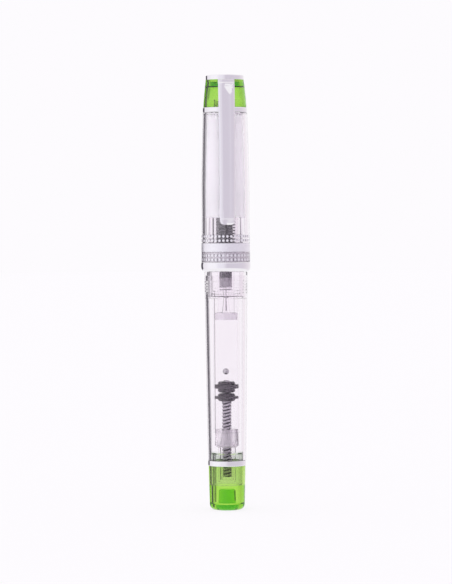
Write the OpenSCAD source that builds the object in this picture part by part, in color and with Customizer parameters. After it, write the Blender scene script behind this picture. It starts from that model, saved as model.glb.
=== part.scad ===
/* [Converter] */
// Outside diameter of the converter tube
converter_d = 7.26; // [7.0:0.02:9.0]
// Wall of the converter tube
converter_wall = 0.45; // [0.35:0.01:1.1]
// Height of the drive nut's collar below the tube
nut_height = 4.05; // [3:0.05:6]
// Length of the knob below the drive nut
knob_length = 10; // [8:0.1:14]
// Outside diameter of the knob
knob_d = 4.9; // [4.4:0.1:5.6]
// Lead of the spindle's two-start thread
spindle_lead = 1.85; // [1.6:0.05:2.6]
// Crest diameter of the spindle's thread
spindle_d = 2.6; // [2.2:0.05:3]
// Gap between the nut and the drawn-back piston
piston_rest_gap = 7.8; // [2:0.1:9.4]
// Diameter of the loose ball that stirs the ink
ball_d = 1.8; // [1.2:0.1:2]

/* [Barrel] */
// Length of the barrel shell, from the end ring to the section's shoulder
barrel_length = 51.2; // [46:0.1:66]
// Wall of the barrel at its rear end
barrel_wall = 0.78; // [0.6:0.02:1.4]
// Growth of the barrel's radius from its rear end to its front end
barrel_taper = 0.68; // [0.4:0.02:1]
// Air gap between the converter tube and the barrel's bore
converter_gap = 0.87; // [0.6:0.01:1.4]
// Length of the thread where the section screws in
thread_length = 6.1; // [4:0.1:8]

/* [End plug] */
// Visible height of the end plug
plug_height = 12.2; // [11:0.1:16]
// Height of the hollow in the plug below the barrel's tail
plug_hollow = 5.3; // [4:0.1:7]
// Thickness of the plug's floor
plug_floor = 1.6; // [1:0.1:2.2]
// Radius of the plug's bottom corner
plug_corner = 1.5; // [0.5:0.1:2]
// Height of the metal ring above the plug
end_ring_height = 1.6; // [1:0.1:2.5]

/* [Section and nib] */
// Height of the section's visible shoulder
shoulder_height = 1; // [0.6:0.05:2]
// Length of the grip
grip_length = 23; // [21:0.1:30]
// Diameter of the grip at its shoulder
grip_rear_d = 10.2; // [9.8:0.1:12.4]
// Diameter of the grip at its waist near the nib
grip_waist_d = 9.1; // [8.4:0.1:9.2]
// Length of nib that stands out of the grip
nib_reach = 18; // [15:0.1:22]
// Diameter of the feed's fins
feed_d = 5.4; // [5:0.1:6]
// Distance from one fin of the feed to the next
fin_pitch = 0.8; // [0.6:0.05:1.2]
// Thickness of the nib's sheet
nib_sheet = 0.24; // [0.18:0.02:0.3]
// Outside diameter of the nipple that feeds from the converter
nipple_d = 4.6; // [4:0.1:4.8]

/* [Cap] */
// Wall of the cap at its mouth
cap_wall = 1.05; // [0.85:0.05:1.8]
// Air gap between the grip and the cap's bore
cap_gap = 0.6; // [0.4:0.05:0.8]
// Distance from the nib's tip to the end of the inner cap
tip_clearance = 2.4; // [1.5:0.05:4]
// Height of the metal ring at the cap's mouth
lip_ring_height = 2.6; // [2:0.1:4]
// Height of the metal ring under the crown
collar_ring_height = 1.5; // [1:0.1:2.5]
// Height of the coloured crown
crown_height = 7.6; // [6:0.1:11]
// Thickness of the top disc
disc_height = 1.3; // [1:0.1:2]
// Wall of the inner cap
inner_cap_wall = 0.4; // [0.3:0.05:0.5]
// How far the inner cap reaches back over the grip
inner_cap_overlap = 8; // [4:0.1:12]

/* [Clip] */
// Width of the clip at its top
clip_width = 4.6; // [3.6:0.1:5.4]
// Width of the clip near its tip
clip_tip_width = 4.16; // [3.2:0.1:4.4]
// Length of the clip below the top disc
clip_length = 40; // [30:0.5:44]
// Thickness of the clip's sheet
clip_sheet = 0.65; // [0.5:0.05:0.8]
// How far the clip bows out from the cap
clip_bow = 1.6; // [1:0.1:2.4]

/* [Hidden] */
$fn = 96;

// Clearances
fit = 0.03;            // a piece pressed or bonded into another
run = 0.05;            // a piece that turns or slides in another
seat = 0.05;           // faces that come apart
tiny = 0.01;

// Barrel and converter radii, from the inside out
tube_r = converter_d / 2;
tube_bore_r = tube_r - converter_wall;
barrel_bore_r = tube_r + converter_gap;
barrel_rear_r = barrel_bore_r + barrel_wall;
barrel_front_r = barrel_rear_r + barrel_taper;
barrel_bulge = 0.04;
socket_wall = 0.86;
socket_r = barrel_front_r - socket_wall;

// Levels up the barrel
ring_z = plug_height;
barrel_z = ring_z + end_ring_height;
shoulder_z = barrel_z + barrel_length;
grip_z = shoulder_z + shoulder_height;
front_z = grip_z + grip_length;
nib_tip_z = front_z + nib_reach;

// Plug
plug_top_r = barrel_rear_r - 0.15;
plug_bottom_r = plug_top_r - 0.25;
plug_wall = 0.87;
butt_r = plug_top_r - plug_wall - fit;
butt_z = plug_floor + plug_hollow;
butt_bore_r = knob_d / 2 + 1;
butt_step_z = barrel_z + 1.7;
plug_bore_r = plug_top_r - 1.52;
core_r = 2.45;
core_height = 4.15;

// Converter levels, built up from the barrel's tail
knob_z = butt_z + 0.45;
nut_z = knob_z + knob_length;
tube_z = nut_z + nut_height + run;
nut_spigot = 0.9;
nut_chamfer = 0.45;
nut_r = tube_r - 0.35;
neck_height = 1.4;
neck_r = knob_d / 2 - 0.25;
knob_wall = 0.7;
knob_bore_r = knob_d / 2 - knob_wall;
knob_floor = 1;

// Section levels below the shoulder
tenon_z = shoulder_z - thread_length;
tenon_r = socket_r - run;
tenon_wall = 0.7;
mouth_depth = 1.7;
mouth_z = tenon_z + mouth_depth;
nipple_r = nipple_d / 2;
nipple_reach = 6.6;
nipple_z = mouth_z - nipple_reach;
stem_z = mouth_z + 0.6;
funnel_top_z = nipple_z + 3.1;
funnel_r = 1.17;
nipple_bore_r = 0.75;
shoulder_r = max(barrel_front_r, grip_rear_d / 2 + cap_gap + 0.26);

// Mouth seal
seal_height = 1.9;
seal_step = 1.2;
seal_z = nipple_z - 1.25;

// Piston and spindle
piston_z = tube_z + nut_spigot + piston_rest_gap;
rear_seal_height = 2.1;
seal_web = 0.35;
front_seal_z = piston_z + rear_seal_height + seal_web;
front_seal_height = 2.95;
piston_lip_r = tube_bore_r - run;
stud_r = 0.8;
piston_body_r = max(piston_lip_r - 0.77, stud_r + 0.9);
head_height = 0.35;
spindle_z = knob_z + knob_floor + 0.8;
spindle_r = spindle_d / 2;
spindle_root_r = spindle_r - 0.3;
thread_run = 0.08;
slices_per_turn = 20;
thread_sides = 12;
ball_r = ball_d / 2;
ball_rise = 2.7;

// Feed and nib
feed_r = feed_d / 2;
feed_bore_r = feed_r + fit;
feed_rear_r = feed_r - 1.02;
feed_rear_bore_r = feed_rear_r + 0.04;
feed_step_z = grip_z + 7.5;
fin_z = feed_step_z + 0.1;
fin_count = 9;
fin_depth = 0.75;
nib_seat_z = fin_z + fin_count * fin_pitch + 0.6;
nib_outer_r = feed_r;
nib_inner_r = nib_outer_r - nib_sheet;
feed_front_r = nib_inner_r - fit;
feed_tongue_z = front_z + 0.62 * nib_reach;
channel_w = 0.5;
channel_floor_r = 0.9;
tail_r = 0.42;
tail_z = nipple_z + 1.2;
tip_r = 0.4;
tip_half_w = 0.36;
breather_r = 0.45;
breather_z = front_z + 0.36 * nib_reach;
slit_w = 0.1;

// Cap radii and levels
cap_z = grip_z + 0.1;
cap_bore_r = grip_rear_d / 2 + cap_gap;
cap_mouth_r = cap_bore_r + cap_wall;
cap_mid_r = cap_mouth_r - 0.1;
cap_top_r = cap_mouth_r - 0.63;
cap_top_bore_r = cap_bore_r - 0.4;
lip_top_z = cap_z + lip_ring_height;
lip_spigot_r = cap_mouth_r - 0.55;
sleeve_r = cap_bore_r - fit;
sleeve_sheet = 0.15;
sleeve_rise = 2.8;
sleeve_top_z = lip_top_z + sleeve_rise;
inner_top_z = nib_tip_z + tip_clearance;
cap_web = 0.6;
cap_top_z = inner_top_z + cap_web;
cap_mid_z = (lip_top_z + cap_top_z) / 2 - 0.6;
cap_low_z = lip_top_z + 11;
cap_neck_height = collar_ring_height + 2;
cap_neck_r = cap_top_r - 1.22;
boss_r = 2.8;
boss_height = cap_neck_height - 0.3;
collar_r = cap_top_r + 0.04;
crown_z = cap_top_z + collar_ring_height;
crown_top_z = crown_z + crown_height;
crown_base_r = cap_top_r - 0.12;
crown_top_r = crown_base_r - 0.71;
crown_bulge = 0.05;
crown_wall = 1.02;
crown_deck = 1.9;
top_z = crown_top_z + disc_height;
inner_cap_z = front_z - inner_cap_overlap;
inner_cap_r = cap_bore_r - 0.3;
inner_cap_top_r = cap_top_bore_r - 0.35;
screw_r = 1.5;
screw_end_z = inner_top_z + 1;

// Clip
washer_r = crown_top_r - 1.1;
washer_z = crown_top_z - seat - clip_sheet;
hub_r = 2.3;
hub_depth = 0.6;
clip_split_y = crown_top_r + 0.16;
clip_bend_r = 1.05;
clip_face_y = clip_split_y + clip_bend_r;
clip_tip_z = crown_top_z - clip_length;
clip_touch_z = clip_tip_z + 2.4;
clip_touch_y = cap_mid_r + 0.06;
clip_corner = 1.25;
flange_depth = 0.6;
flange_w = 0.5;
flange_end_gap = 5;

// Radius at height z on a line from (r0, z0) to (r1, z1), swelling by bulge halfway
function swell(z, r0, z0, r1, z1, bulge = 0) =
    let(t = (z - z0) / (z1 - z0)) r0 + (r1 - r0) * t + 4 * bulge * t * (1 - t);

// Points of that line, from z0 to z1
function swell_line(r0, z0, r1, z1, bulge, steps = 10) =
    [for (i = [0:steps]) let(z = z0 + (z1 - z0) * i / steps) [swell(z, r0, z0, r1, z1, bulge), z]];

// Points of an elliptical arc about (cx, cz), from angle a0 to a1
function arc(cx, cz, rx, rz, a0, a1, steps = 8) =
    [for (i = [0:steps]) let(a = a0 + (a1 - a0) * i / steps) [cx + rx * cos(a), cz + rz * sin(a)]];

// A turned piece from its half section
module lathe(points) {
    rotate_extrude() polygon(points);
}

// Two-start screw shape whose lobes stand at the same angle at the same height in every piece
module screw_thread(z0, z1, grow = 0) {
    turns = (z1 - z0) / spindle_lead;
    translate([0, 0, z0])
        rotate(360 * z0 / spindle_lead)
            linear_extrude(
                height = z1 - z0, twist = -360 * turns,
                slices = ceil(turns * slices_per_turn), $fn = thread_sides
            )
                polygon([
                    for (i = [0:thread_sides - 1])
                        let(a = 360 * i / thread_sides,
                            r = grow + (spindle_r + spindle_root_r) / 2
                                + (spindle_r - spindle_root_r) / 2 * cos(2 * a))
                        [r * cos(a), r * sin(a)]
                ]);
}

// End plug: a cup over the barrel's tail, with a solid core standing on its floor
module end_plug() {
    color("limegreen", 0.7)
        lathe(concat(
            [[0, 0]],
            arc(plug_bottom_r - plug_corner, plug_corner, plug_corner, plug_corner, -90, 0),
            [
                [plug_top_r, ring_z],
                [butt_r + fit, ring_z],
                [butt_r + fit, butt_z - fit],
                [plug_bore_r, butt_z - fit - 0.3],
                [plug_bore_r, plug_floor + 0.4],
                [plug_bore_r - 0.4, plug_floor],
                [core_r, plug_floor],
                [core_r - 0.15, plug_floor + core_height - 0.4],
                [core_r - 0.55, plug_floor + core_height],
                [0, plug_floor + core_height]
            ]
        ));
}

module barrel_end_ring() {
    round_r = 0.3;
    color("silver")
        lathe(concat(
            [[butt_r + fit, ring_z]],
            arc(barrel_rear_r - round_r, ring_z + round_r, round_r, round_r, -90, 0, 5),
            arc(barrel_rear_r - round_r, barrel_z - round_r, round_r, round_r, 0, 90, 5),
            [[butt_r + fit, barrel_z]]
        ));
}

// Barrel: a tapering tube, with a threaded mouth and a thick tail inside the end plug
module barrel_shell() {
    front_bore_r = socket_r - 0.06;
    color("white", 0.3)
        lathe(concat(
            [
                [butt_r - 0.2, butt_z],
                [butt_r, butt_z + 0.2],
                [butt_r, barrel_z]
            ],
            swell_line(barrel_rear_r, barrel_z, barrel_front_r, shoulder_z, barrel_bulge),
            [
                [socket_r, shoulder_z],
                [socket_r, tenon_z - 0.2],
                [front_bore_r, tenon_z - 0.26],
                [barrel_bore_r, butt_step_z + 0.5],
                [barrel_bore_r - 0.35, butt_step_z],
                [butt_bore_r, butt_step_z],
                [butt_bore_r, butt_z]
            ]
        ));
}

// Section: hollow tenon around the feed's nipple below the shoulder, waisted grip above it
module section_shell() {
    waist_z = front_z - 5;
    front_lip = 0.13;
    nose = 0.6;
    waist_r = grip_waist_d / 2;
    color("white", 0.3)
        lathe(concat(
            [
                [funnel_r, nipple_z],
                [nipple_r - 0.3, nipple_z],
                [nipple_r, nipple_z + 0.3],
                [nipple_r, shoulder_z],
                [tenon_r - tenon_wall, shoulder_z],
                [tenon_r - tenon_wall, tenon_z],
                [tenon_r - 0.3, tenon_z],
                [tenon_r, tenon_z + 0.3],
                [tenon_r, shoulder_z + seat],
                [shoulder_r, shoulder_z + seat],
                [shoulder_r, grip_z - 0.1],
                [shoulder_r - 0.1, grip_z]
            ],
            swell_line(grip_rear_d / 2, grip_z, waist_r, waist_z, -0.06, 8),
            [[waist_r + front_lip, front_z - 1.6]],
            arc(waist_r + front_lip - nose, front_z - nose, nose, nose, 0, 90, 5),
            [
                [feed_bore_r, front_z],
                [feed_bore_r, feed_step_z],
                [feed_rear_bore_r, feed_step_z],
                [feed_rear_bore_r, stem_z],
                [nipple_bore_r, stem_z],
                [nipple_bore_r, funnel_top_z]
            ]
        ));
}

// Outline of the nib seen from above, shrunk by inset
module nib_outline(z0, z1, inset = 0) {
    shoulder = front_z + 1.5;
    half_w = nib_outer_r - inset;
    tip_w = max(tip_half_w - inset, 0.1);
    side = [for (i = [0:10]) let(t = i / 10)
        [tip_w + (half_w - tip_w) * pow(1 - t, 1.25), shoulder + (z1 - shoulder) * t]];
    polygon(concat(
        [[half_w, z0]], side,
        [for (i = [10:-1:0]) [-side[i][0], side[i][1]]],
        [[-half_w, z0]]
    ));
}

// An outline in X and Z, standing on the nib's side of the pen
module upright(depth) {
    rotate([90, 0, 0])
        linear_extrude(height = depth)
            children();
}

// Feed: tail, rear stem, finned collector and the tongue under the nib
module feed() {
    combs = [for (i = [0:fin_count - 1]) let(z = fin_z + i * fin_pitch) each [
        [feed_r - fin_depth, z],
        [feed_r - fin_depth, z + fin_pitch / 2],
        [feed_r, z + fin_pitch / 2],
        [feed_r, z + fin_pitch]
    ]];
    bevel_z = front_z + 1;
    color("dimgray")
        difference() {
            union() {
                lathe(concat(
                    [
                        [0, tail_z],
                        [tail_r, tail_z],
                        [tail_r, stem_z + 0.1],
                        [feed_rear_r, stem_z + 0.1],
                        [feed_rear_r, feed_step_z + 0.05],
                        [feed_r, feed_step_z + 0.05],
                        [feed_r, fin_z]
                    ],
                    combs,
                    [
                        [feed_r, nib_seat_z - 0.1],
                        [feed_front_r, nib_seat_z - 0.1],
                        [feed_front_r, bevel_z],
                        [0, bevel_z]
                    ]
                ));
                intersection() {
                    translate([0, 0, bevel_z - 0.5])
                        cylinder(r = feed_front_r, h = feed_tongue_z - bevel_z + 0.5);
                    upright(feed_front_r + 1)
                        nib_outline(bevel_z - 1, nib_tip_z, 0.45);
                    rotate([90, 0, 90])
                        translate([0, 0, -feed_front_r])
                            linear_extrude(height = 2 * feed_front_r)
                                polygon([
                                    [-feed_front_r - 1, bevel_z - 0.5],
                                    [0, bevel_z - 0.5],
                                    [-feed_front_r + 0.7, feed_tongue_z],
                                    [-feed_front_r - 1, feed_tongue_z]
                                ]);
                }
            }
            translate([-channel_w / 2, -feed_r - 1, fin_z])
                cube([channel_w, feed_r + 1 - channel_floor_r, nib_tip_z - fin_z]);
        }
}

// Nib: a rolled half tube cut to a point, with breather, slit and tipping
module nib() {
    tip_y = (nib_inner_r + nib_outer_r) / 2;
    color("gainsboro")
        union() {
            difference() {
                intersection() {
                    translate([0, 0, nib_seat_z])
                        difference() {
                            cylinder(r = nib_outer_r, h = nib_tip_z - tip_r - nib_seat_z);
                            translate([0, 0, -1])
                                cylinder(r = nib_inner_r, h = nib_tip_z - nib_seat_z + 2);
                        }
                    translate([0, -0.35, 0])
                        upright(nib_outer_r)
                            nib_outline(nib_seat_z - 1, nib_tip_z - tip_r);
                }
                translate([0, 0, breather_z])
                    rotate([90, 0, 0])
                        cylinder(r = breather_r, h = nib_outer_r + 1, $fn = 32);
                translate([-slit_w / 2, -nib_outer_r - 1, breather_z])
                    cube([slit_w, 2, nib_tip_z - tip_r - 0.6 - breather_z]);
            }
            translate([0, -tip_y, nib_tip_z - tip_r])
                sphere(r = tip_r, $fn = 32);
        }
}

module converter_tube() {
    color("white", 0.3)
        lathe([
            [tube_bore_r, tube_z],
            [tube_r, tube_z],
            [tube_r, mouth_z - 0.3],
            [tube_r - 0.3, mouth_z],
            [tube_bore_r, mouth_z]
        ]);
}

// Stepped ring in the converter's mouth that grips the nipple
module converter_mouth_seal() {
    color("lightgray")
        lathe([
            [nipple_r - 0.7, seal_z],
            [tube_bore_r - fit, seal_z],
            [tube_bore_r - fit, seal_z + seal_height],
            [nipple_r + fit, seal_z + seal_height],
            [nipple_r + fit, seal_z + seal_step],
            [nipple_r - 0.7, seal_z + seal_step]
        ]);
}

// Drive nut: a collar under the tube with a spigot in its bore and the thread inside
module converter_nut() {
    thread_z = nut_z + neck_height + 0.4;
    color("silver", 0.7)
        difference() {
            lathe([
                [0, nut_z],
                [nut_r - nut_chamfer, nut_z],
                [nut_r, nut_z + nut_chamfer],
                [nut_r, nut_z + nut_height],
                [tube_bore_r - run, nut_z + nut_height],
                [tube_bore_r - run, tube_z + nut_spigot],
                [0, tube_z + nut_spigot]
            ]);
            translate([0, 0, nut_z - 1])
                cylinder(r = neck_r + fit, h = neck_height + fit + 1);
            translate([0, 0, nut_z])
                cylinder(r = spindle_r + 0.3, h = thread_z - nut_z);
            screw_thread(thread_z - 0.2, tube_z + nut_spigot + 0.5, thread_run);
        }
}

// Knob: a sleeve closed at its end, fluted for the fingers, with a neck in the nut
module converter_knob() {
    flutes = 12;
    flute_r = 0.35;
    color("white", 0.4)
        difference() {
            lathe([
                [0, knob_z],
                [knob_d / 2 - 0.5, knob_z],
                [knob_d / 2, knob_z + 0.5],
                [knob_d / 2, nut_z],
                [neck_r, nut_z],
                [neck_r, nut_z + neck_height],
                [knob_bore_r, nut_z + neck_height],
                [knob_bore_r, knob_z + knob_floor],
                [0, knob_z + knob_floor]
            ]);
            for (i = [0:flutes - 1])
                rotate(360 * i / flutes)
                    translate([knob_d / 2 + flute_r * 0.55, 0, knob_z - 1])
                        cylinder(r = flute_r, h = knob_length - 1.5, $fn = 24);
        }
}

// Spindle: two-start spiral screw with a stepped stud for the two seals
module screw_spindle() {
    collar_r = stud_r + 0.4;
    flange_height = 0.4;
    color([0.25, 0.24, 0.27])
        union() {
            screw_thread(spindle_z, piston_z - flange_height / 2);
            lathe([
                [0, piston_z - flange_height],
                [spindle_r + 0.06, piston_z - flange_height],
                [spindle_r + 0.06, piston_z],
                [stud_r, piston_z],
                [stud_r, piston_z + rear_seal_height + 0.05],
                [collar_r, piston_z + rear_seal_height + 0.05],
                [collar_r, front_seal_z],
                [stud_r, front_seal_z],
                [stud_r, front_seal_z + front_seal_height],
                [stud_r + 0.15, front_seal_z + front_seal_height],
                [stud_r - 0.1, front_seal_z + front_seal_height + head_height],
                [0, front_seal_z + front_seal_height + head_height]
            ]);
        }
}

// A rubber seal with one wiping lip, seated on the spindle's stud
module piston_seal(z, height, lip_low, lip_high) {
    lathe([
        [stud_r + fit, z],
        [piston_body_r - 0.3, z],
        [piston_body_r, z + 0.3],
        [piston_body_r, z + lip_low],
        [piston_lip_r, z + lip_low + 0.15],
        [piston_lip_r, z + lip_high - 0.15],
        [piston_body_r, z + lip_high],
        [piston_body_r, z + height - 0.25],
        [piston_body_r - 0.25, z + height],
        [stud_r + fit, z + height]
    ]);
}

module piston_front_seal() {
    color([0.13, 0.13, 0.14])
        piston_seal(front_seal_z, front_seal_height, 0.95, 2.3);
}

module piston_rear_seal() {
    color([0.13, 0.13, 0.14])
        piston_seal(piston_z, rear_seal_height, 0.55, 1.5);
}

// Loose ball lying against the back of the tube's wall
module agitator_ball() {
    color("slategray")
        translate([0, tube_bore_r - run - ball_r, front_seal_z + front_seal_height + ball_rise + tiny])
            sphere(r = ball_r, $fn = 48);
}

module cap_shell() {
    shoulder_curve = [for (i = [0:12]) let(t = i / 12)
        [cap_mid_r - (cap_mid_r - cap_top_r) * pow(t, 1.5), cap_mid_z + (cap_top_z - cap_mid_z) * t]];
    color("white", 0.3)
        lathe(concat(
            [
                [cap_bore_r, cap_z + 0.3],
                [lip_spigot_r, cap_z + 0.3],
                [lip_spigot_r, lip_top_z],
                [cap_mouth_r, lip_top_z],
                [cap_mid_r, cap_low_z]
            ],
            shoulder_curve,
            [
                [cap_neck_r, cap_top_z],
                [cap_neck_r, cap_top_z + cap_neck_height],
                [boss_r + fit, cap_top_z + cap_neck_height],
                [boss_r + fit, inner_top_z],
                [cap_top_bore_r - 0.3, inner_top_z],
                [cap_top_bore_r, inner_top_z - 0.3],
                [cap_bore_r, cap_mid_z]
            ]
        ));
}

// Rounded ring over the cap's mouth
// Ring around the cap's mouth, with a thin sleeve that lines the bore behind it
module cap_lip_ring() {
    crest_r = cap_mouth_r + 0.17;
    crest_z = cap_z + 0.58 * lip_ring_height;
    foot_r = crest_r - 0.87;
    color("silver")
        lathe(concat(
            arc(foot_r, crest_z, crest_r - foot_r, crest_z - cap_z, -90, 0, 10),
            arc(cap_mouth_r, crest_z, crest_r - cap_mouth_r, lip_top_z - crest_z, 15, 90, 5),
            [
                [lip_spigot_r + fit, lip_top_z],
                [lip_spigot_r + fit, cap_z + 0.25],
                [sleeve_r, cap_z + 0.25],
                [sleeve_r, sleeve_top_z],
                [sleeve_r - sleeve_sheet, sleeve_top_z],
                [sleeve_r - sleeve_sheet, cap_z]
            ]
        ));
}

// Liner whose step seals on the grip's nose, with a boss for the top screw
module inner_cap() {
    top_wall = 0.6;
    nose_r = grip_waist_d / 2 - 0.25;
    mouth_r = inner_cap_r - inner_cap_wall;
    nose_z = front_z + seat;
    color("snow", 0.8)
        lathe([
            [mouth_r, inner_cap_z],
            [inner_cap_r, inner_cap_z],
            [inner_cap_r, front_z],
            [inner_cap_top_r, inner_top_z - 0.5],
            [inner_cap_top_r - 0.4, inner_top_z - 0.05],
            [boss_r, inner_top_z - 0.05],
            [boss_r, cap_top_z + boss_height],
            [screw_r + fit, cap_top_z + boss_height],
            [screw_r + fit, screw_end_z - 0.3],
            [0, screw_end_z - 0.3],
            [0, inner_top_z - top_wall],
            [nose_r - 0.4, inner_top_z - top_wall],
            [nose_r, inner_top_z - top_wall - 0.4],
            [nose_r, nose_z],
            [mouth_r, nose_z]
        ]);
}

module cap_collar_ring() {
    round_r = 0.3;
    color("silver")
        lathe(concat(
            [[cap_neck_r + fit, cap_top_z]],
            arc(collar_r - round_r, cap_top_z + round_r, round_r, round_r, -90, 0, 5),
            arc(collar_r - round_r, crown_z - round_r, round_r, round_r, 0, 90, 5),
            [[cap_neck_r + fit, crown_z]]
        ));
}

// Slot through which the clip leaves the crown, grown by gap on each side
module clip_passage(gap) {
    translate([-clip_width / 2 - gap, -crown_base_r, washer_z - gap])
        cube([clip_width + 2 * gap, crown_base_r, clip_sheet + seat + 2 * gap]);
}

// Crown: a hollow bell over the cap's neck, with a recess on top for the clip's washer
module cap_crown() {
    deck_z = crown_top_z - crown_deck;
    neck_z = cap_top_z + cap_neck_height + 0.05;
    deck_r = swell(deck_z, crown_base_r, crown_z, crown_top_r, crown_top_z, crown_bulge) - crown_wall;
    color("limegreen", 0.7)
        difference() {
            lathe(concat(
                [[cap_neck_r + fit, crown_z]],
                swell_line(crown_base_r, crown_z, crown_top_r, crown_top_z, crown_bulge, 6),
                [
                    [washer_r + 0.1, crown_top_z],
                    [washer_r + 0.1, washer_z - tiny],
                    [hub_r + 0.1, washer_z - tiny],
                    [hub_r + 0.1, washer_z - hub_depth - tiny],
                    [screw_r + 0.1, washer_z - hub_depth - tiny],
                    [screw_r + 0.1, deck_z],
                    [deck_r - 0.3, deck_z],
                    [deck_r, deck_z - 0.3],
                    [cap_neck_r + fit, neck_z]
                ]
            ));
            clip_passage(tiny);
        }
}

// Root of the clip: washer with a drawn hub, and the arm out to the bend
module clip_root() {
    color("silver")
        difference() {
            union() {
                translate([0, 0, washer_z])
                    cylinder(r = washer_r, h = clip_sheet);
                translate([0, 0, washer_z - hub_depth])
                    cylinder(r = hub_r, h = hub_depth + clip_sheet / 2);
                translate([-clip_width / 2, -clip_split_y, washer_z])
                    cube([clip_width, clip_split_y, clip_sheet]);
            }
            translate([0, 0, washer_z - hub_depth - 1])
                cylinder(r = screw_r + 0.1, h = hub_depth + clip_sheet + 2);
        }
}

// Top disc with the screw that clamps clip, crown and ring to the inner cap
module crown_finial() {
    round_r = 0.3;
    color("silver")
        lathe(concat(
            [
                [0, screw_end_z],
                [screw_r, screw_end_z],
                [screw_r, crown_top_z],
                [crown_top_r, crown_top_z]
            ],
            arc(crown_top_r - round_r, top_z - round_r, round_r, round_r, 0, 90, 5),
            [[0, top_z]]
        ));
}

// Distance of the clip's front face from the pen's axis at height z
function clip_face(z) =
    let(z0 = crown_top_z - clip_bend_r, t = (z0 - z) / (z0 - clip_touch_z))
        clip_face_y + (clip_touch_y + clip_sheet - clip_face_y) * t
            + clip_bow * sin(180 * pow(min(max(t, 0), 1), 1.15));

// Side view of the clip's sheet, thickened inwards by depth
module clip_side(depth) {
    steps = 22;
    z0 = crown_top_z - seat - clip_bend_r;
    front = [for (i = [0:steps]) let(z = z0 + (clip_touch_z - z0) * i / steps) [-clip_face(z), z]];
    tip_kick = 0.5;
    polygon(concat(
        [[-clip_split_y - seat, z0 + clip_bend_r]],
        [for (a = [15:15:75]) [
            -clip_face_y + clip_bend_r - seat - (clip_bend_r - seat) * sin(a),
            z0 + clip_bend_r * cos(a)
        ]],
        front,
        [[-clip_touch_y - clip_sheet - tip_kick, clip_tip_z], [-clip_touch_y - tip_kick, clip_tip_z]],
        [for (i = [steps:-1:0]) [front[i][0] + depth, front[i][1]]],
        [[-clip_split_y - seat - max(depth - clip_sheet, 0), z0 + clip_bend_r - clip_sheet],
         [-clip_split_y - seat, z0 + clip_bend_r - clip_sheet]]
    ));
}

// Front view of the clip: a tapering tongue with a rounded end
module clip_front(inset = 0) {
    top_w = clip_width / 2 - inset;
    tip_w = clip_tip_width / 2 - inset;
    c = clip_corner;
    polygon(concat(
        [[-top_w, crown_top_z + 1]],
        arc(-tip_w + c, clip_tip_z + inset + c, c, c, 180, 270, 6),
        arc(tip_w - c, clip_tip_z + inset + c, c, c, 270, 360, 6),
        [[top_w, crown_top_z + 1]]
    ));
}

// Clip: a sprung tongue with folded edges
module clip_tongue() {
    reach = clip_face_y + clip_bow + 3;
    half = clip_width / 2;
    flange_low_z = clip_touch_z + flange_end_gap;
    flange_high_z = crown_top_z - clip_bend_r - flange_end_gap;
    color("silver")
        intersection() {
            upright(reach)
                clip_front();
            union() {
                rotate([90, 0, 90])
                    translate([0, 0, -half])
                        linear_extrude(height = 2 * half)
                            clip_side(clip_sheet);
                difference() {
                    rotate([90, 0, 90])
                        translate([0, 0, -half])
                            linear_extrude(height = 2 * half)
                                intersection() {
                                    clip_side(clip_sheet + flange_depth);
                                    polygon([
                                        [-reach, flange_low_z - 2],
                                        [-clip_touch_y, flange_low_z],
                                        [-clip_touch_y, flange_high_z],
                                        [-reach, flange_high_z + 2]
                                    ]);
                                }
                    upright(reach)
                        clip_front(flange_w);
                }
            }
        }
}

end_plug();
barrel_end_ring();
barrel_shell();
section_shell();
feed();
nib();
converter_tube();
converter_mouth_seal();
converter_nut();
converter_knob();
screw_spindle();
piston_front_seal();
piston_rear_seal();
agitator_ball();
cap_shell();
cap_lip_ring();
inner_cap();
cap_collar_ring();
cap_crown();
clip_root();
crown_finial();
clip_tongue();
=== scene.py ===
"""Clear demonstrator fountain pen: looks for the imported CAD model."""

import math

import bmesh
import bpy
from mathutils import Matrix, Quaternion, Vector


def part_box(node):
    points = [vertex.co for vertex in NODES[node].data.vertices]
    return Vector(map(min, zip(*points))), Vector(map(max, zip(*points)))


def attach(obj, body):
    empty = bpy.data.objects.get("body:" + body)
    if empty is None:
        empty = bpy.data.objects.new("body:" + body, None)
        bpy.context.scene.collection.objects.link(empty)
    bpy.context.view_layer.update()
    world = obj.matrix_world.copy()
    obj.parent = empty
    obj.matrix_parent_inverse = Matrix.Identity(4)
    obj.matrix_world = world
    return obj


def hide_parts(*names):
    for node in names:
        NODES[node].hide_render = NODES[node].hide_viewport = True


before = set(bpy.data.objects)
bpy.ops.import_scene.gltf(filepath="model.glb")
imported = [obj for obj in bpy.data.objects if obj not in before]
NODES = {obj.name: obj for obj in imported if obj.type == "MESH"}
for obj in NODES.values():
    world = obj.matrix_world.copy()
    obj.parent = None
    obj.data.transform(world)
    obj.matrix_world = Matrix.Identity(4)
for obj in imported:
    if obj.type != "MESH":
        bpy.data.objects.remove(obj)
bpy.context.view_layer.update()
MM = 0.001
SCENE = bpy.context.scene


def low(node):
    """Lowest corner of a CAD node, in millimetres."""
    return [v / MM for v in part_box(node)[0]]


def high(node):
    """Highest corner of a CAD node, in millimetres."""
    return [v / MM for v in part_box(node)[1]]


# ---------------------------------------------------------------- camera

PHOTO_HEIGHT = 584
PX_PER_MM = 3.606
SENSOR = 36.0
DISTANCE = 750.0        # from the pen's axis, in millimetres
EYE_HEIGHT = 80.0
CENTRE_HEIGHT = 60.4    # height of the picture's centre on the pen
TURN = 4.0              # degrees that the camera stands to the left of the clip
ROLL = -0.36            # degrees that the pen leans in the picture
NEAR_LIMIT = 0.01       # the camera sees from here to here, in metres
FAR_LIMIT = 20


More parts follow.
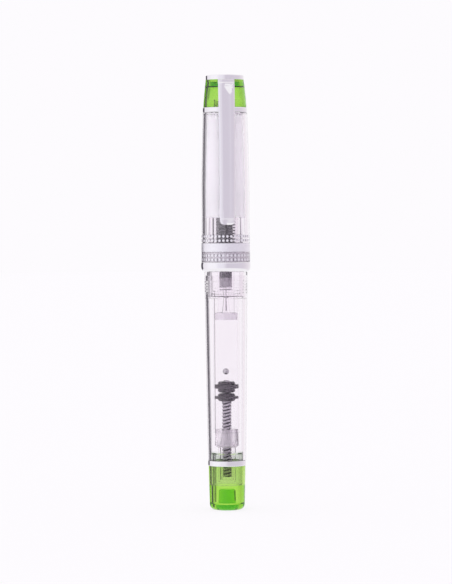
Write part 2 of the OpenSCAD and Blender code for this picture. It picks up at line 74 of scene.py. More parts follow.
def make_camera():
    data = bpy.data.cameras.new("camera")
    data.sensor_width = SENSOR
    data.sensor_fit = "AUTO"
    data.lens = SENSOR * PX_PER_MM * DISTANCE / PHOTO_HEIGHT
    data.clip_start = NEAR_LIMIT
    data.clip_end = FAR_LIMIT
    camera = bpy.data.objects.new("camera", data)
    SCENE.collection.objects.link(camera)
    turn = math.radians(TURN)
    eye = Vector((-math.sin(turn) * DISTANCE, -math.cos(turn) * DISTANCE, EYE_HEIGHT)) * MM
    target = Vector((0, 0, CENTRE_HEIGHT)) * MM
    aim = (target - eye).to_track_quat("-Z", "Y")
    camera.rotation_mode = "QUATERNION"
    camera.rotation_quaternion = aim @ Quaternion((0, 0, 1), math.radians(ROLL))
    camera.location = eye
    SCENE.camera = camera


make_camera()

# ---------------------------------------------------------------- shader helpers


def new_node(tree, kind, **values):
    node = tree.nodes.new(kind)
    for key, value in values.items():
        setattr(node, key, value)
    return node


def maths(tree, operation, *inputs):
    node = new_node(tree, "ShaderNodeMath", operation=operation)
    for i, value in enumerate(inputs):
        if isinstance(value, (int, float)):
            node.inputs[i].default_value = value
        else:
            tree.links.new(value, node.inputs[i])
    return node.outputs[0]


def ramp(tree, source, stops):
    """Colour that a socket picks from (place, colour) stops."""
    node = new_node(tree, "ShaderNodeValToRGB")
    elements = node.color_ramp.elements
    while len(elements) > 1:
        elements.remove(elements[-1])
    for i, (at, colour) in enumerate(stops):
        element = elements[0] if i == 0 else elements.new(at)
        element.position = at
        element.color = (*colour, 1)
    tree.links.new(source, node.inputs[0])
    return node.outputs[0]


def mix(tree, factor, first, second):
    """Colour between a socket's and a second one, which is a socket or a fixed colour."""
    node = new_node(tree, "ShaderNodeMix", data_type="RGBA")
    tree.links.new(factor, node.inputs["Factor"])
    tree.links.new(first, node.inputs["A"])
    if isinstance(second, tuple):
        node.inputs["B"].default_value = (*second, 1)
    else:
        tree.links.new(second, node.inputs["B"])
    return node.outputs["Result"]


# ---------------------------------------------------------------- light

BACKGROUND = (0.982, 0.965, 0.991)
CEILING = (0.97, 0.955, 0.98)

# Brightness round the pen, by the angle from the camera towards its left
STUDIO = [
    (-180, (0.98, 0.965, 0.99)),
    (-164, (0.98, 0.965, 0.99)),
    (-150, (0.92, 0.88, 0.92)),
    (-120, (0.84, 0.78, 0.84)),
    (-90, (0.74, 0.68, 0.76)),
    (-60, (0.71, 0.66, 0.75)),
    (-30, (0.70, 0.65, 0.74)),
    (-6, (0.70, 0.65, 0.74)),
    (3, (0.80, 0.76, 0.84)),
    (14, (0.88, 0.85, 0.93)),
    (34, (0.90, 0.87, 0.95)),
    (50, (1.0, 0.98, 1.03)),
    (86, (1.0, 0.98, 1.03)),
    (104, (0.94, 0.91, 0.96)),
    (129, (0.90, 0.87, 0.92)),
    (165, (0.98, 0.965, 0.99)),
    (180, (0.98, 0.965, 0.99)),
]

# Dark screen that draws the edges of the clear walls: its share by angle and by height, where
# height goes from -1 straight down to 1 straight up
SCREEN = [(129, 0), (133, 0.65), (136, 1), (156, 1), (160, 0.63), (165, 0)]
SCREEN_RISE = [(-0.28, 0), (-0.2, 1), (0.2, 1), (0.28, 0)]
SCREEN_COLOUR = (0.07, 0.06, 0.08)

# How much brighter the studio's lamps are for matt surfaces than their mirror images
MATT_GAIN = 1.9

# Share of ceiling and floor in the picture of the studio, by the same height
STUDIO_RISE = [
    (-1.0, 1), (-0.48, 1), (-0.32, 0), (0.36, 0), (0.46, 1), (0.72, 1), (0.88, 0), (1.0, 0),
]


def make_world():
    world = bpy.data.worlds.new("studio")
    SCENE.world = world
    world.use_nodes = True
    tree = world.node_tree
    tree.nodes.clear()
    link = tree.links.new
    place = new_node(tree, "ShaderNodeTexCoord")
    axes = new_node(tree, "ShaderNodeSeparateXYZ")
    link(place.outputs["Generated"], axes.inputs[0])
    x, y, z = axes.outputs
    angle = maths(tree, "ARCTAN2", maths(tree, "MULTIPLY", x, -1), maths(tree, "MULTIPLY", y, -1))
    angle = maths(tree, "SUBTRACT", angle, math.radians(TURN))
    share = maths(tree, "ADD", maths(tree, "DIVIDE", angle, 2 * math.pi), 0.5)
    share = maths(tree, "FRACT", maths(tree, "ADD", share, 1.0))
    height = maths(tree, "MULTIPLY_ADD", z, 0.5, 0.5)

    def by_angle(stops):
        return ramp(tree, share, [(a / 360 + 0.5, colour) for a, colour in stops])

    def by_height(stops):
        return ramp(tree, height, [(h / 2 + 0.5, (v, v, v)) for h, v in stops])

    screen = maths(tree, "MULTIPLY", by_angle([(a, (v, v, v)) for a, v in SCREEN]),
                   by_height(SCREEN_RISE))
    walls = mix(tree, screen, by_angle(STUDIO), SCREEN_COLOUR)
    # The walls give way to a pale ceiling and floor
    room = mix(tree, by_height(STUDIO_RISE), walls, CEILING)
    path = new_node(tree, "ShaderNodeLightPath")
    glow = new_node(tree, "ShaderNodeBackground")
    link(mix(tree, path.outputs["Is Camera Ray"], room, BACKGROUND), glow.inputs["Color"])
    matt = maths(tree, "MINIMUM", path.outputs["Diffuse Depth"], 1)
    link(maths(tree, "MULTIPLY_ADD", matt, MATT_GAIN - 1, 1), glow.inputs["Strength"])
    out = new_node(tree, "ShaderNodeOutputWorld")
    link(glow.outputs[0], out.inputs["Surface"])


make_world()

SCENE.view_settings.view_transform = "Standard"
SCENE.view_settings.look = "None"
SCENE.cycles.max_bounces = 36
SCENE.cycles.transmission_bounces = 32
SCENE.cycles.glossy_bounces = 12
SCENE.cycles.diffuse_bounces = 4
SCENE.cycles.transparent_max_bounces = 16
SCENE.cycles.sample_clamp_indirect = 8
SCENE.cycles.use_denoising = True

FLOOR_RADIUS = 3.5
FLOOR_SIDES = 128
FLOOR_GLOW = 0.86       # share of the floor's brightness that shadows don't reach
FLOOR_MATT = 0.09       # colour of the part that they do reach


def make_floor():
    bpy.ops.mesh.primitive_circle_add(vertices=FLOOR_SIDES, radius=FLOOR_RADIUS, fill_type="NGON")
    floor = bpy.context.object
    floor.name = "floor"
    made = bpy.data.materials.new("floor")
    made.use_nodes = True
    tree = made.node_tree
    tree.nodes.clear()
    glow = new_node(tree, "ShaderNodeEmission")
    glow.inputs["Color"].default_value = (*BACKGROUND, 1)
    glow.inputs["Strength"].default_value = FLOOR_GLOW
    matt = new_node(tree, "ShaderNodeBsdfDiffuse")
    matt.inputs["Color"].default_value = (FLOOR_MATT, FLOOR_MATT, FLOOR_MATT, 1)
    add = new_node(tree, "ShaderNodeAddShader")
    tree.links.new(glow.outputs[0], add.inputs[0])
    tree.links.new(matt.outputs[0], add.inputs[1])
    out = new_node(tree, "ShaderNodeOutputMaterial")
    tree.links.new(add.outputs[0], out.inputs["Surface"])
    floor.data.materials.append(made)
    # The pen reflects and refracts the studio walls, and not the floor
    floor.visible_glossy = False
    floor.visible_transmission = False


make_floor()

# ---------------------------------------------------------------- materials


def material(name, **sockets):
    made = bpy.data.materials.new(name)
    made.use_nodes = True
    shader = made.node_tree.nodes["Principled BSDF"]
    for key, value in sockets.items():
        socket = shader.inputs[key.replace("_", " ")]
        if socket.type == "RGBA":
            value = (*value, 1)
        socket.default_value = value
    return made


NOISE_DETAIL = 3.0
ROUGH_SPAN = (0.3, 0.7)     # values of the noise that the two ends of a range stand for
TINT_SPAN = (0.35, 0.65)
GRAIN_STRENGTH = 0.05
GRAIN_HEIGHT = 0.002


def noise(tree, scale, stretch=None):
    place = new_node(tree, "ShaderNodeTexCoord")
    out = place.outputs["Object"]
    if stretch:
        mapping = new_node(tree, "ShaderNodeMapping")
        mapping.inputs["Scale"].default_value = stretch
        tree.links.new(out, mapping.inputs[0])
        out = mapping.outputs[0]
    texture = new_node(tree, "ShaderNodeTexNoise")
    texture.inputs["Scale"].default_value = scale
    texture.inputs["Detail"].default_value = NOISE_DETAIL
    tree.links.new(out, texture.inputs["Vector"])
    return texture.outputs["Fac"]


def vary_roughness(made, lowest, highest, scale, stretch=None):
    """Lets the roughness wander between two values over the surface."""
    tree = made.node_tree
    spread = new_node(tree, "ShaderNodeMapRange")
    spread.inputs["From Min"].default_value = ROUGH_SPAN[0]
    spread.inputs["From Max"].default_value = ROUGH_SPAN[1]
    spread.inputs["To Min"].default_value = lowest
    spread.inputs["To Max"].default_value = highest
    tree.links.new(noise(tree, scale, stretch), spread.inputs["Value"])
    tree.links.new(spread.outputs[0], tree.nodes["Principled BSDF"].inputs["Roughness"])


def tint(made, shades, scale, stretch=None):
    """Lets the base colour wander between two shades."""
    tree = made.node_tree
    colour = ramp(tree, noise(tree, scale, stretch), list(zip(TINT_SPAN, shades)))
    tree.links.new(colour, tree.nodes["Principled BSDF"].inputs["Base Color"])


def grain(made, scale):
    """Fine unevenness of the surface."""
    tree = made.node_tree
    bump = new_node(tree, "ShaderNodeBump")
    bump.inputs["Strength"].default_value = GRAIN_STRENGTH
    bump.inputs["Distance"].default_value = GRAIN_HEIGHT * MM
    tree.links.new(noise(tree, scale), bump.inputs["Height"])
    tree.links.new(bump.outputs[0], tree.nodes["Principled BSDF"].inputs["Normal"])


def absorb(made, per_mm):
    """Colours a clear plastic by what each millimetre of it lets through."""
    tree = made.node_tree
    strongest = max(-math.log(v) for v in per_mm)
    volume = new_node(tree, "ShaderNodeVolumeAbsorption")
    volume.inputs["Density"].default_value = strongest / MM
    volume.inputs["Color"].default_value = (*[1 + math.log(v) / strongest for v in per_mm], 1)
    out = tree.nodes["Material Output"]
    tree.links.new(volume.outputs[0], out.inputs["Volume"])


def clear_plastic(name, colour, shades, scale, index, grain_scale=None, per_mm=None,
                  roughness=0.0):
    """Clear material; per_mm is what each millimetre of a coloured one lets through."""
    made = material(name, Base_Color=colour, Roughness=roughness, IOR=index,
                    Transmission_Weight=1.0)
    tint(made, shades, scale)
    if grain_scale:
        grain(made, grain_scale)
    if per_mm:
        absorb(made, per_mm)
    return made


def solid(name, colour, shades, scale, roughness, rough_scale, stretch=None, **sockets):
    """Opaque or cloudy material; roughness is its own value and the two it wanders between."""
    made = material(name, Base_Color=colour, Roughness=roughness[0], **sockets)
    if shades:
        tint(made, shades, scale, stretch)
    vary_roughness(made, roughness[1], roughness[2], rough_scale)
    return made


# Refractive index of solid plastic. The pieces inside others have a lower one, so that the many
# walls that light passes in a row show no lines that the real mouldings don't.
INDEX = 1.49
BARREL_INDEX = 1.32
PLUG_INDEX = 1.43
INNER_INDEX = 1.2
KNOB_INDEX = 1.12
POST_INDEX = 1.08
TUBE_INDEX = 1.05

GREEN_COLOUR = (0.96, 1.0, 0.94)
GREEN_SHADES = ((0.955, 0.995, 0.93), (0.965, 1.0, 0.945))

CLEAR = clear_plastic("clear_plastic", (0.987, 0.971, 0.987),
                      ((0.984, 0.968, 0.984), (0.990, 0.974, 0.990)), 90, INDEX, 300)
BARREL = clear_plastic("barrel_plastic", (0.981, 0.964, 0.980),
                       ((0.978, 0.961, 0.977), (0.984, 0.967, 0.983)), 90, BARREL_INDEX, 300)
TUBE = clear_plastic("tube_plastic", (0.990, 0.982, 0.990),
                     ((0.988, 0.980, 0.988), (0.993, 0.985, 0.993)), 120, TUBE_INDEX, 400)
POST = clear_plastic("post_plastic", (0.992, 0.980, 0.992),
                     ((0.990, 0.978, 0.990), (0.995, 0.984, 0.995)), 200, POST_INDEX)
KNOB = clear_plastic("knob_plastic", (0.990, 0.982, 0.990),
                     ((0.985, 0.977, 0.985), (0.993, 0.985, 0.993)), 200, KNOB_INDEX,
                     roughness=0.02)
TAIL = clear_plastic("tail_plastic", (0.98, 0.985, 0.98),
                     ((0.975, 0.98, 0.975), (0.985, 0.99, 0.985)), 200, INNER_INDEX,
                     per_mm=(0.86, 0.89, 0.85))
GREEN = clear_plastic("green_plastic", GREEN_COLOUR, GREEN_SHADES, 90, PLUG_INDEX, 300,
                      (0.76, 0.915, 0.445))
CORE = clear_plastic("core_green", GREEN_COLOUR, GREEN_SHADES, 200, INNER_INDEX,
                     per_mm=(0.745, 0.92, 0.15))
CROWN = clear_plastic("crown_green", GREEN_COLOUR, GREEN_SHADES, 90, INDEX, 300,
                      (0.645, 0.858, 0.315))
DECK = clear_plastic("deck_green", GREEN_COLOUR, GREEN_SHADES, 200, INNER_INDEX,
                     per_mm=(0.76, 0.90, 0.42))
MILKY = solid("milky_plastic", (0.985, 0.975, 0.99),
              ((0.975, 0.965, 0.985), (0.99, 0.982, 0.995)), 60, (0.45, 0.4, 0.5), 500,
              IOR=1.4, Subsurface_Weight=0.7, Subsurface_Scale=0.0006,
              Subsurface_Radius=(1.0, 0.95, 1.0))
CHROME = solid("chrome_trim", (0.91, 0.90, 0.92),
               ((0.905, 0.895, 0.915), (0.915, 0.905, 0.925)), 120, (0.06, 0.045, 0.075), 700,
               Metallic=1.0)
SATIN = solid("satin_trim", (0.74, 0.71, 0.75),
              ((0.71, 0.68, 0.72), (0.77, 0.74, 0.78)), 900, (0.3, 0.25, 0.35), 1500,
              stretch=(1, 1, 0.1), Metallic=0.9)
PRINT = solid("silver_print", (0.86, 0.85, 0.89),
              ((0.84, 0.83, 0.87), (0.875, 0.865, 0.90)), 1500, (0.35, 0.3, 0.4), 2500,
              Metallic=0.85)
FEED = solid("feed_plastic", (0.20, 0.185, 0.21),
             ((0.185, 0.17, 0.195), (0.215, 0.20, 0.225)), 600, (0.25, 0.2, 0.32), 1500, IOR=INDEX)
STEM = solid("feed_stem", (0.55, 0.52, 0.56),
             ((0.52, 0.49, 0.53), (0.58, 0.55, 0.59)), 600, (0.25, 0.2, 0.32), 1500, IOR=INDEX)
INK = solid("ink_channel", (0.012, 0.010, 0.014),
            ((0.010, 0.008, 0.012), (0.016, 0.013, 0.018)), 900, (0.3, 0.25, 0.35), 1500, IOR=1.45)
SEAL = solid("seal_ring", (0.76, 0.73, 0.76),
             ((0.73, 0.70, 0.73), (0.79, 0.76, 0.79)), 500, (0.25, 0.2, 0.3), 1500, IOR=INDEX,
             Subsurface_Weight=0.3, Subsurface_Scale=0.0004, Subsurface_Radius=(1.0, 1.0, 1.0))
NUT = solid("nut_plastic", (0.90, 0.88, 0.90),
            ((0.88, 0.85, 0.88), (0.93, 0.90, 0.93)), 500, (0.15, 0.1, 0.16), 1500, IOR=1.25,
            Transmission_Weight=0.72)
RUBBER = solid("piston_rubber", (0.078, 0.067, 0.080),
               ((0.070, 0.060, 0.072), (0.088, 0.075, 0.090)), 900, (0.3, 0.25, 0.38), 2000,
               IOR=1.5)
BALL = solid("ball_steel", (0.55, 0.54, 0.56),
             ((0.52, 0.51, 0.53), (0.58, 0.57, 0.59)), 1500, (0.12, 0.08, 0.16), 2500,
             Metallic=1.0)
# The spindle's colour is painted darker in its grooves as painted shade, and the nib's tint and
# polish run along it
SPINDLE = solid("spindle_plastic", (0.30, 0.28, 0.31), None, None, (0.12, 0.1, 0.16), 1500,
                IOR=1.6)
STEEL = material("nib_steel", Base_Color=(0.80, 0.79, 0.78), Roughness=0.16, Metallic=1.0)
tint(STEEL, ((0.77, 0.76, 0.76), (0.82, 0.81, 0.80)), 900, (1, 1, 0.08))
vary_roughness(STEEL, 0.13, 0.2, 1500, (1, 1, 0.05))

FINISH = {
    "clear_plastic": CLEAR, "green_plastic": GREEN, "milky_plastic": MILKY,
    "chrome_trim": CHROME, "nib_steel": STEEL, "feed_plastic": FEED,
    "tube_plastic": TUBE, "seal_ring": SEAL, "nut_plastic": NUT,
    "knob_plastic": KNOB, "spindle_plastic": SPINDLE, "piston_rubber": RUBBER,
    "ball_steel": BALL,
}
for node in NODES.values():
    for slot in node.material_slots:
        slot.material = FINISH[slot.material.name.split(".")[0]]

# ---------------------------------------------------------------- shape helpers

WELD = 1e-6             # vertices nearer than this are one vertex, in the mesh's own unit
STRAIGHT = 2e-4         # how far a point may lie off a line and be left out, in millimetres
AXIS = 1e-3             # radius below which a point lies on the axis, in millimetres
ON_WALL = 0.01          # how near a point on an upright wall is to the wall's radius
SIDES = 160             # facets round a turned piece
SHARP_ANGLE = 30        # edges that turn by more than this stay sharp, in degrees
SECTION_ANGLE = 0.7     # just off a facet's edge, so that a section cuts the facets cleanly
OUTER_SHARE = 0.75      # the outer wall lies beyond this share of the largest radius
SEAM = 0.01             # gap between two pieces that make up one node


def clamp(value):
    return min(max(value, 0.0), 1.0)


def chains(edges):
    """Runs of vertices that a set of edges makes."""
    around = {}
    for edge in edges:
        for vert in edge.verts:
            around.setdefault(vert, []).append(edge)
    left = dict.fromkeys(edges)
    ends = [vert for vert, near in around.items() if len(near) == 1]
    while left:
        start = next((vert for vert in ends if around[vert][0] in left), None)
        edge = around[start][0] if start else next(iter(left))
        vert = start or edge.verts[0]
        run = [vert]
        while edge:
            left.pop(edge)
            vert = edge.other_vert(vert)
            run.append(vert)
            edge = next((near for near in around[vert] if near in left), None)
        yield run


def straighten(points):
    """Leaves out the points that lie on the line between their neighbours."""
    kept = [p for i, p in enumerate(points) if i == 0 or math.dist(p, points[i - 1]) > STRAIGHT]
    i = 1
    while i < len(kept) - 1:
        (x0, y0), (x1, y1), (x2, y2) = kept[i - 1:i + 2]
        area = abs((x1 - x0) * (y2 - y0) - (y1 - y0) * (x2 - x0))
        if area / math.dist(kept[i - 1], kept[i + 1]) < STRAIGHT:
            kept.pop(i)
        else:
            i += 1
    return kept


def half_section(node, degrees=SECTION_ANGLE):
    """Outline of a CAD node in the half plane at an angle from +X: (radius, height) in mm.

    A closed outline starts on the outer wall at mid height and goes up it, and an open one starts
    at its lower end.
    """
    mesh = bmesh.new()
    mesh.from_mesh(NODES[node].data)
    bmesh.ops.remove_doubles(mesh, verts=mesh.verts, dist=WELD)
    angle = math.radians(degrees)
    outward = Vector((math.cos(angle), math.sin(angle), 0))
    parts = mesh.verts[:] + mesh.edges[:] + mesh.faces[:]
    cut = bmesh.ops.bisect_plane(mesh, geom=parts, plane_co=(0, 0, 0),
                                 plane_no=(-outward.y, outward.x, 0))["geom_cut"]
    edges = [e for e in cut if isinstance(e, bmesh.types.BMEdge)
             and (e.verts[0].co + e.verts[1].co).dot(outward) > 0]
    runs = [[(max(v.co.dot(outward) / MM, 0), v.co.z / MM) for v in run] for run in chains(edges)]
    mesh.free()
    outline = straighten(max(runs, key=len))
    if math.dist(outline[0], outline[-1]) > STRAIGHT:
        return outline if outline[0][1] < outline[-1][1] else outline[::-1]
    outline.pop()
    area = sum(r0 * z1 - r1 * z0 for (r0, z0), (r1, z1) in zip(outline, outline[1:] + outline[:1]))
    if area < 0:
        outline.reverse()
    middle = (min(z for r, z in outline) + max(z for r, z in outline)) / 2
    reach = max(r for r, z in outline)
    start = min((abs(z - middle), -r, i) for i, (r, z) in enumerate(outline)
                if r > OUTER_SHARE * reach)[2]
    return outline[start:] + outline[:start]


def split(outline, inside):
    """Points of a closed outline outside a region, from where it leaves it, and those inside."""
    start = next(i for i in range(len(outline))
                 if inside(*outline[i - 1]) and not inside(*outline[i]))
    run = outline[start:] + outline[:start]
    return [p for p in run if not inside(*p)], [p for p in run if inside(*p)]


def crossings(outline, height):
    """Radii at which an outline passes a height, from the inside out."""
    found = []
    for (r0, z0), (r1, z1) in zip(outline, outline[1:] + outline[:1]):
        if (z0 - height) * (z1 - height) < 0:
            found.append(r0 + (r1 - r0) * (height - z0) / (z1 - z0))
    return sorted(found)


def divide_upright(outline, radius, step):
    """Adds points along the upright stretches of an outline that stand at a radius."""
    made = []
    for (r0, z0), (r1, z1) in zip(outline, outline[1:] + outline[:1]):
        made.append((r0, z0))
        if abs(r0 - radius) < ON_WALL and abs(r1 - radius) < ON_WALL:
            count = max(round(abs(z1 - z0) / step), 1)
            made += [(r0 + (r1 - r0) * k / count, z0 + (z1 - z0) * k / count)
                     for k in range(1, count)]
    return made


def skin(mesh, here, there, closed=True):
    """Faces between two rows of vertices, and from their ends back to their starts if closed."""
    for k in range(0 if closed else 1, len(here)):
        mesh.faces.new((here[k - 1], here[k], there[k], there[k - 1]))


def finish_mesh(name, mesh, finish, sharp=SHARP_ANGLE):
    """Object from a bmesh in millimetres, smooth but for edges sharper than an angle."""
    bmesh.ops.recalc_face_normals(mesh, faces=mesh.faces)
    bmesh.ops.scale(mesh, vec=(MM, MM, MM), verts=mesh.verts)
    data = bpy.data.meshes.new(name)
    mesh.to_mesh(data)
    mesh.free()
    data.shade_smooth()
    data.set_sharp_from_angle(angle=math.radians(sharp))
    data.materials.append(finish)
    made = bpy.data.objects.new(name, data)
    SCENE.collection.objects.link(made)
    return made


def turned(name, outline, finish, shift=None, sides=SIDES):
    """Turned solid of a half outline; shift(angle, radius, height) moves its points in or out."""
    if math.dist(outline[0], outline[-1]) < AXIS:
        outline = outline[:-1]
    mesh = bmesh.new()
    on_axis = {i: mesh.verts.new((0, 0, z)) for i, (r, z) in enumerate(outline) if r < AXIS}
    columns = []
    for k in range(sides):
        angle = 2 * math.pi * k / sides
        column = []
        for i, (r, z) in enumerate(outline):
            if i in on_axis:
                column.append(on_axis[i])
            else:
                reach = r + (shift(angle, r, z) if shift else 0)
                place = (reach * math.cos(angle), reach * math.sin(angle), z)
                column.append(mesh.verts.new(place))
        columns.append(column)
    for here, there in zip(columns, columns[1:] + columns[:1]):
        for i in range(len(outline)):
            j = (i + 1) % len(outline)
            if i in on_axis and j in on_axis:
                continue
            mesh.faces.new(dict.fromkeys((here[i], here[j], there[j], there[i])))
    return finish_mesh(name, mesh, finish)


def stand_in(made, node, body):
    """Lets a piece stand for a CAD node."""
    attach(made, body)
    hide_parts(node)


# ---------------------------------------------------------------- threads of section and barrel

SHOULDER_Z = high("barrel_shell")[2]
THREAD_PITCH = 0.8
THREAD_DEPTH = 0.07
THREAD_LENGTH = 4.6
THREAD_GAP = 0.7        # plain stretch between the thread and the shoulder
THREAD_RUNOUT = 0.6
THREAD_SHARPNESS = 1.5
THREAD_WALL = 0.02      # how near a point on the threaded wall is to the wall's radius
RINGS_PER_PITCH = 8


def thread_cut(angle, height):
    """Depth of the thread's groove at a place on its wall."""
    top = SHOULDER_Z - THREAD_GAP
    inside = min(top - height, height - (top - THREAD_LENGTH))
    fade = clamp(inside / THREAD_RUNOUT)
    turn = height / THREAD_PITCH - angle / (2 * math.pi)
    wave = 0.5 - 0.5 * math.cos(2 * math.pi * turn)
    return THREAD_DEPTH * fade * wave ** THREAD_SHARPNESS


def threaded(name, node, body, finish, outer, outline):
    """Copy of a turned CAD node with its thread cut into its outer or inner wall."""
    radius = crossings(outline, SHOULDER_Z - THREAD_LENGTH / 2)[-1 if outer else 0]
    outline = divide_upright(outline, radius, THREAD_PITCH / RINGS_PER_PITCH)
    side = -1 if outer else 1

    def shift(angle, r, z):
        return side * thread_cut(angle, z) if abs(r - radius) < THREAD_WALL else 0

    made = turned(name, outline, finish, shift)
    stand_in(made, node, body)


# The section's post is a piece of its own, up to a height that the cap's ring hides
POST_TOP = 66.65
POST_GAP = 0.05
BORE_LIMIT_R = 2        # the post's bore lies inside this radius
POST_LIMIT_R = 4        # and its outer wall inside this one,
POST_FOOT_DROP = 0.5    # above this depth under the shoulder
FLANGE_LIMIT_R = 5.5    # the flange lies outside this radius
FLANGE_HALF = 1.2       # and within this height of the shoulder


def section_pieces():
    """Section's shell with its thread, and its flange and post as pieces of their own."""
    outline = half_section("section_shell")
    bore = next(i for i, (r, z) in enumerate(outline) if r < BORE_LIMIT_R)
    cavity = next(i for i, (r, z) in enumerate(outline) if i > bore
                  and BORE_LIMIT_R < r < POST_LIMIT_R and z > SHOULDER_Z - POST_FOOT_DROP)
    stem_r, post_r, cavity_r = outline[bore][0], outline[cavity][0], outline[cavity + 1][0]
    ceiling = POST_TOP + POST_GAP
    shell = outline[:bore + 1] + [(stem_r, ceiling), (cavity_r, ceiling)] + outline[cavity + 2:]
    brim = [i for i, (r, z) in enumerate(shell)
            if r > FLANGE_LIMIT_R and abs(z - SHOULDER_Z) < FLANGE_HALF]
    first, last = min(brim) - 1, max(brim) + 1
    neck_r = max(shell[first][0], shell[last][0])
    flange = [(neck_r, shell[first][1])] + shell[first + 1:last] + [(neck_r, shell[last][1])]
    made = turned("section_flange", flange, POST)
    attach(made, "section")
    at = last if shell[last][0] == neck_r else first
    shell = [p for i, p in enumerate(shell) if not (first < i < last or i == at)]
    threaded("section_threaded", "section_shell", "section", CLEAR, True, shell)
    post = [(stem_r, POST_TOP)] + outline[bore + 1:cavity] + [(post_r, POST_TOP)]
    made = turned("section_post", post, POST)
    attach(made, "section")


# ---------------------------------------------------------------- barrel

BORE_LEAST_R = 4.4      # the barrel's bore lies between these radii
BORE_MOST_R = 4.6
TAIL_STEP = 0.1         # the tail's bore is smaller than the barrel's by more than this


def barrel_pieces():
    """Barrel with its thread, and the tail inside its foot."""
    outline = half_section("barrel_shell")
    bore = [p for p in outline if BORE_LEAST_R < p[0] < BORE_MOST_R]
    bore_r, bore_z = min(bore, key=lambda p: p[1])
    shell, tail = split(outline, lambda r, z: r < bore_r - TAIL_STEP and z < bore_z)
    seat = tail[-1][1]
    shell.append((bore_r, seat))
    threaded("barrel_threaded", "barrel_shell", "barrel", BARREL, False, shell)
    tail = [(bore_r - SEAM, bore_z)] + tail + [(bore_r - SEAM, seat)]
    made = turned("barrel_tail", tail, TAIL)
    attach(made, "barrel")


# ---------------------------------------------------------------- end plug

LEDGE_DEPTH = 5.33      # from the cup's mouth down to its ledge, which is cut flat
LEDGE_HALF = 0.5        # points within this height of the ledge and inside this radius are on it
LEDGE_LIMIT_R = 4.5
FOOT_LEAST_R = 2.3      # the foot of the core's pit lies between these radii and below this height
FOOT_MOST_R = 2.7
FOOT_LIMIT_Z = 2


def plug_pieces():
    """Plug's cup, and the core that closes it."""
    ledge = high("end_plug")[2] - LEDGE_DEPTH
    outline = [(r, ledge if abs(z - ledge) < LEDGE_HALF and r < LEDGE_LIMIT_R else z)
               for r, z in half_section("end_plug")]
    foot = max(i for i, (r, z) in enumerate(outline)
               if FOOT_LEAST_R < r < FOOT_MOST_R and z < FOOT_LIMIT_Z)
    floor = outline[foot][1]
    rim_r = outline[foot - 1][0]
    made = turned("plug_cup", [(rim_r, 0)] + outline[1:foot], GREEN)
    stand_in(made, "end_plug", "barrel")
    core = [(0, 0), (rim_r - SEAM, 0), (rim_r - SEAM, floor)] + outline[foot:]
    made = turned("plug_core", core, CORE)
    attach(made, "barrel")


# ---------------------------------------------------------------- piston seals

SQUEEZE = 0.02          # how far the seals press into the tube's wall
LIP_WIDTH = 0.02        # points this near a seal's largest radius are on its lips


def piston_seal(name, node):
    """Seal whose lips touch the tube."""
    outline = half_section(node)
    lip = max(r for r, z in outline)
    bore = min(r for r, z in half_section("converter_tube"))

    def shift(angle, r, z):
        return bore + SQUEEZE - lip if r > lip - LIP_WIDTH else 0

    made = turned(name, outline, RUBBER, shift)
    stand_in(made, node, "piston")


# ---------------------------------------------------------------- spindle and nut

LEAD = 1.85             # two starts, turning as the CAD's lobes do
STARTS = 2
GROOVE = 0.3
GROOVE_START = 0.05     # the grooves reach from here to here in the wave of the thread
GROOVE_FULL = 0.6
# Spindle's colour on its crests, and the painted shade in its grooves
CREST_COLOUR = (0.42, 0.39, 0.43)
GROOVE_SHADE_COLOUR = (0.035, 0.03, 0.04)
GROOVE_SHADE_JITTER = 0.3       # how unevenly the painted shade follows the groove
CREST_R = 1.3
NUT_BORE_R = 1.35
NUT_BORE_MARGIN = 0.1   # points this near the nut's bore are left to its thread
NUT_GAP = 0.1           # play between the nut's thread and the grooves
SPINDLE_STEP = 0.065
SPINDLE_SIDES = 64
FLANGE_Z = 29.75
FLANGE_MARGIN = 0.05    # the grooves end this far below the flange


def groove(angle, height):
    """Depth of the spindle's groove at a place on its wall."""
    wave = -math.cos(STARTS * (angle - 2 * math.pi * height / LEAD))
    rise = clamp((wave - GROOVE_START) / (GROOVE_FULL - GROOVE_START))
    return GROOVE * rise * rise * (3 - 2 * rise)


def paint_groove_shade(made):
    """Darkens a material's colour in the spindle's grooves with painted shade."""
    tree = made.node_tree
    link = tree.links.new
    place = new_node(tree, "ShaderNodeTexCoord")
    axes = new_node(tree, "ShaderNodeSeparateXYZ")
    link(place.outputs["Object"], axes.inputs[0])
    x, y, z = axes.outputs
    turn = maths(tree, "MULTIPLY", z, -2 * math.pi / (LEAD * MM))
    angle = maths(tree, "ADD", maths(tree, "ARCTAN2", y, x), turn)
    wave = maths(tree, "COSINE", maths(tree, "MULTIPLY", angle, STARTS))
    shade_jitter = maths(tree, "MULTIPLY_ADD", noise(tree, 1200), GROOVE_SHADE_JITTER, -GROOVE_SHADE_JITTER / 2)
    level = maths(tree, "MULTIPLY_ADD", maths(tree, "ADD", wave, shade_jitter), 0.5, 0.5)
    stops = [(0.5 - GROOVE_FULL / 2, GROOVE_SHADE_COLOUR), (0.5 - GROOVE_START / 2, CREST_COLOUR)]
    link(ramp(tree, level, stops), tree.nodes["Principled BSDF"].inputs["Base Color"])


def spindle_piece():
    """Spindle with broad crests between narrow grooves."""
    flange = [p for p in half_section("screw_spindle") if p[1] > FLANGE_Z - ON_WALL]
    foot = low("screw_spindle")[2]
    outline = [(0, foot), (CREST_R, foot), (CREST_R, flange[0][1])] + flange
    outline = divide_upright(outline, CREST_R, SPINDLE_STEP)

    def shift(angle, r, z):
        on_crest = abs(r - CREST_R) < ON_WALL and z < FLANGE_Z - FLANGE_MARGIN
        return -groove(angle, z) if on_crest else 0

    # Painted shade: the spindle's colour darkens in its grooves
    paint_groove_shade(SPINDLE)
    made = turned("spindle_cut", outline, SPINDLE, shift, SPINDLE_SIDES)
    stand_in(made, "screw_spindle", "piston")


